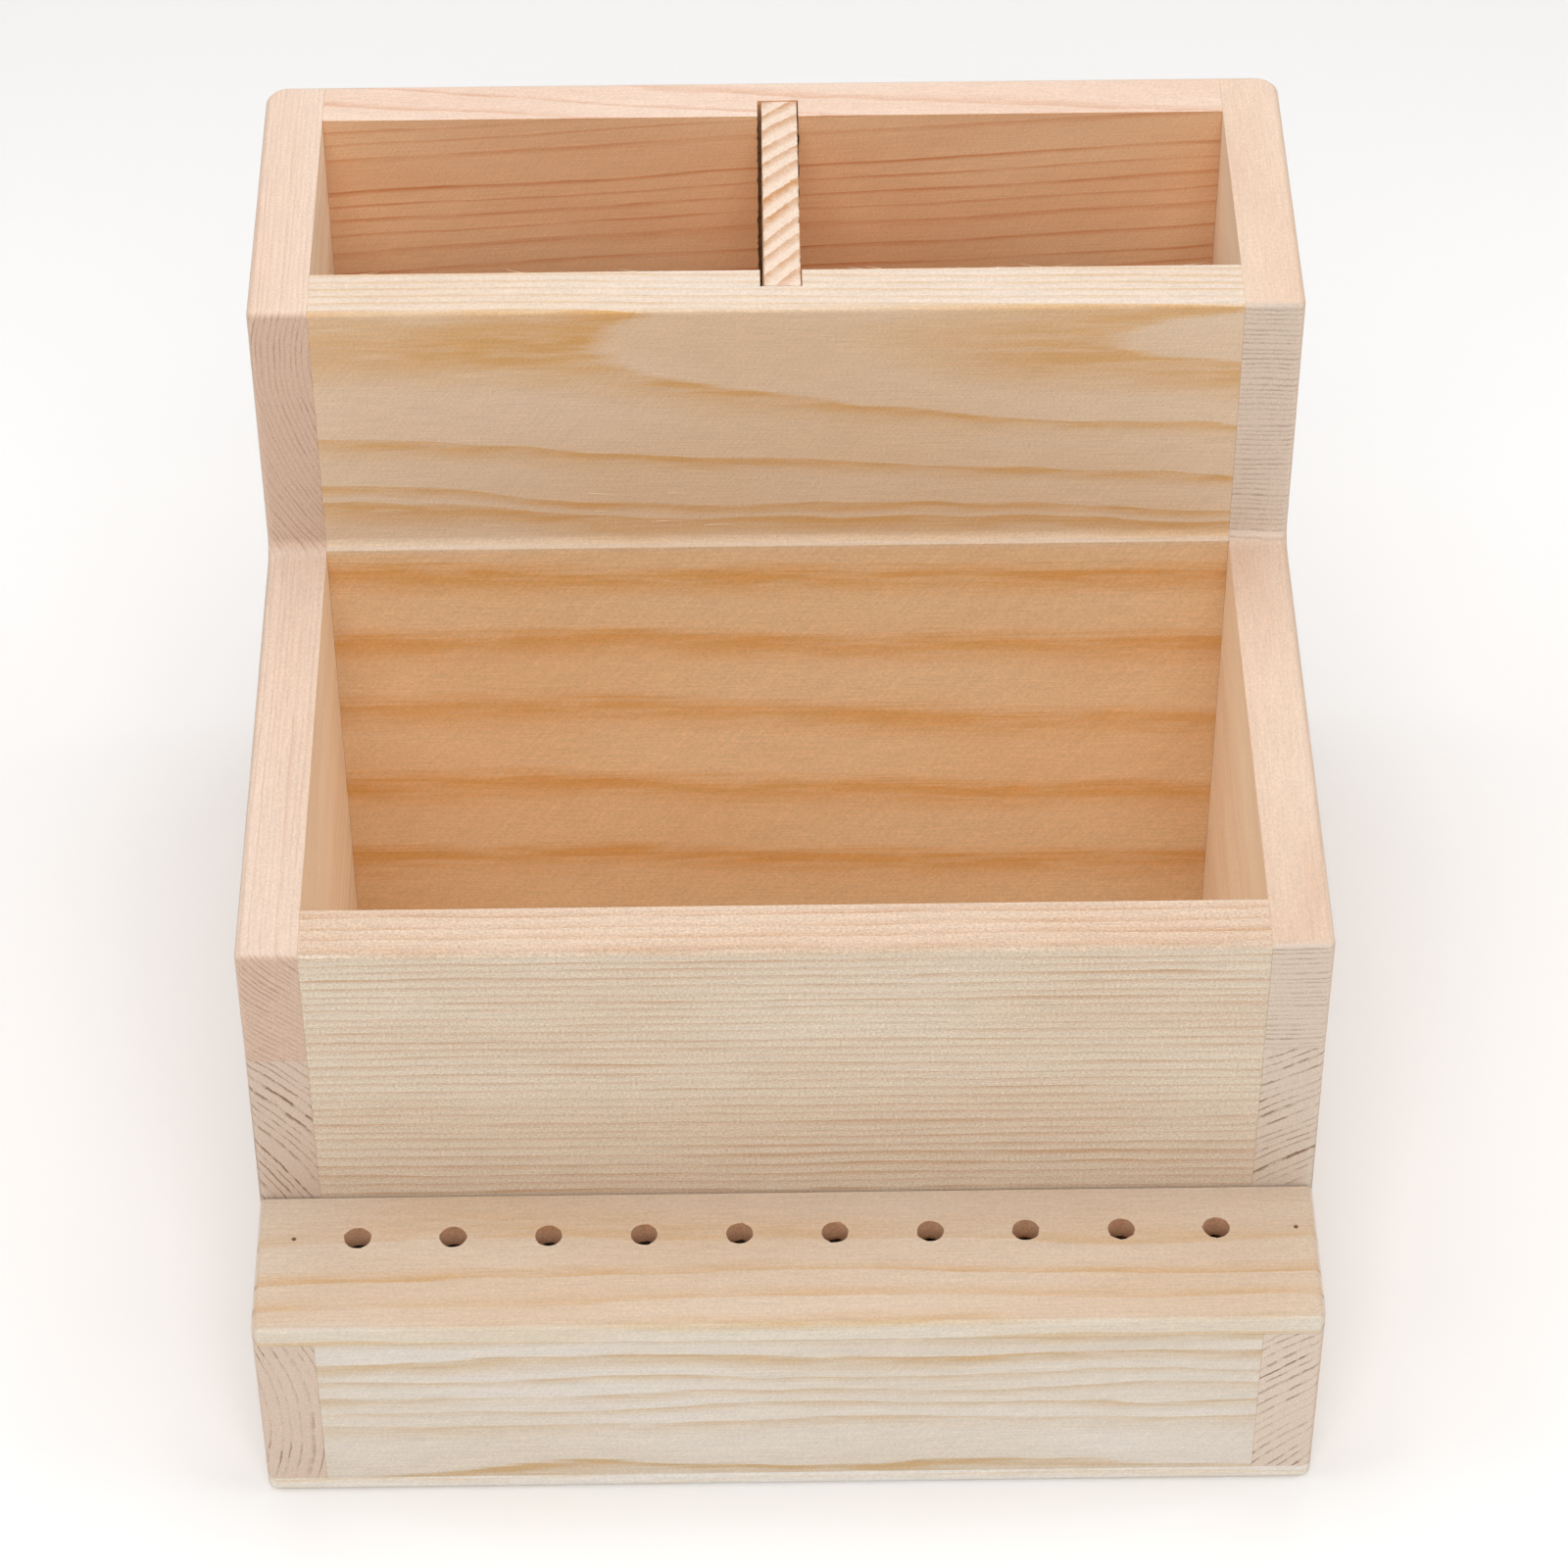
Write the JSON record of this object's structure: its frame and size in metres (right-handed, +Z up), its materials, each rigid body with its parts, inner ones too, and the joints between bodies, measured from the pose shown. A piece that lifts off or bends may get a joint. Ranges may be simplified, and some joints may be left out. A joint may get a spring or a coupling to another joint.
{
  "type": "stepped tool storage caddy",
  "caption": "Stepped wooden bench caddy: a drilled tool shelf over a hollow low tier, an open middle bin, and a tall rear bin parted by a lift-out divider.",
  "frame": {"origin": "middle of the underside, on the surface that the caddy stands on", "axes": "+X to the right as seen from the front, +Y to the back, +Z up; the tiers rise towards +Y"},
  "size_m": [0.2, 0.214, 0.174],
  "materials": {
    "side": "bare sanded pine, grain front to back, end grain on the front edges",
    "panel": "bare sanded pine, grain side to side",
    "inner": "bare sanded pine, warmer in colour, grain side to side",
    "shelf": "bare sanded pine, grain side to side, drilled edges slightly chipped",
    "divider": "bare sanded pine, grain upright, striped end grain on top",
    "base": "bare sanded pine, eased lower edges",
    "steel": "dull headless wire pins, set just below the surface"
  },
  "bodies": {
    "caddy": {"base_board": "base", "left_side_lower_stave": "side", "left_side_upper_stave": "side", "right_side_lower_stave": "side", "right_side_upper_stave": "side", "low_front_panel": "panel", "middle_front_panel": "panel", "riser_panel": "inner", "back_panel": "inner", "tool_shelf": "shelf", "shelf_pin_left": "steel", "shelf_pin_right": "steel", "low_front_pin_left_1": "steel", "low_front_pin_left_2": "steel", "middle_front_pin_left_1": "steel", "middle_front_pin_left_2": "steel", "riser_pin_left_1": "steel", "riser_pin_left_2": "steel", "riser_pin_left_3": "steel", "back_pin_left_1": "steel", "back_pin_left_2": "steel", "back_pin_left_3": "steel", "base_pin_left_1": "steel", "base_pin_left_2": "steel", "base_pin_left_3": "steel", "low_front_pin_right_1": "steel", "low_front_pin_right_2": "steel", "middle_front_pin_right_1": "steel", "middle_front_pin_right_2": "steel", "riser_pin_right_1": "steel", "riser_pin_right_2": "steel", "riser_pin_right_3": "steel", "back_pin_right_1": "steel", "back_pin_right_2": "steel", "back_pin_right_3": "steel", "base_pin_right_1": "steel", "base_pin_right_2": "steel", "base_pin_right_3": "steel"},
    "divider": {"divider": "divider"}
  },
  "joints": [
    {"name": "divider_lift", "type": "slide", "parent": "caddy", "child": "divider", "axis": [0, 0, 1], "range_m": [0, 0.18]}
  ]
}
